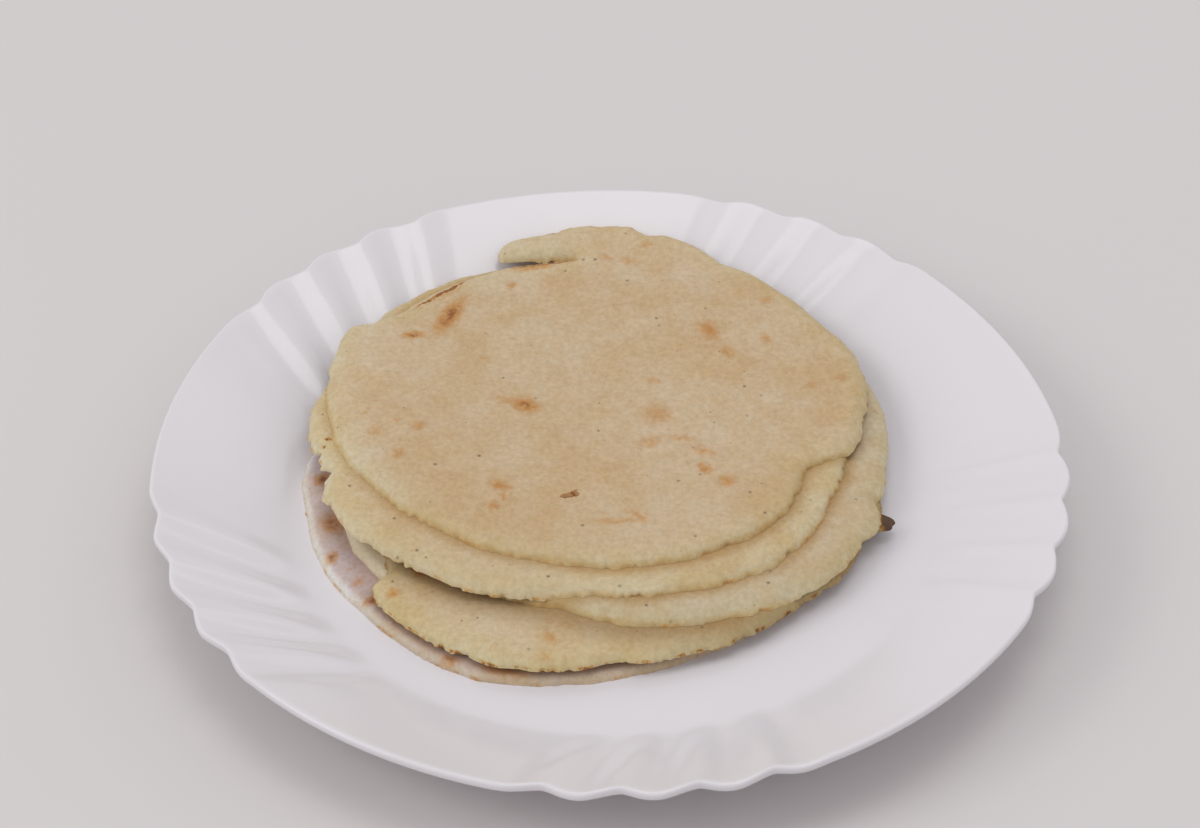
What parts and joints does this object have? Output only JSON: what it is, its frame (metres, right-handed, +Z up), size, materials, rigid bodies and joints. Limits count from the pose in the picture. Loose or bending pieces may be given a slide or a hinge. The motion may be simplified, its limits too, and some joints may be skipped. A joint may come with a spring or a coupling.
{
  "type": "stack of corn tortillas on a plate",
  "caption": "Stack of thin round flatbreads of maize dough, lightly toasted, lying askew on one another in a white glass dinner plate with a fluted rim.",
  "frame": {"origin": "on the table under the middle of the plate", "axes": "+Z up; the stack is looked at from -Y, with +X to the right"},
  "size_m": [0.2508, 0.2507, 0.0247],
  "materials": {
    "opal_glass": "gloss",
    "tortilla_1_crumb": "matte",
    "tortilla_2_crumb": "matte",
    "tortilla_3_crumb": "matte",
    "tortilla_4_crumb": "matte",
    "tortilla_5_crumb": "matte",
    "tortilla_6_crumb": "matte"
  },
  "bodies": {
    "root": {"plate": "opal_glass", "tortilla_1": "tortilla_1_crumb", "tortilla_2": "tortilla_2_crumb", "tortilla_3": "tortilla_3_crumb", "tortilla_4": "tortilla_4_crumb", "tortilla_5": "tortilla_5_crumb", "tortilla_6": "tortilla_6_crumb"}
  },
  "joints": []
}
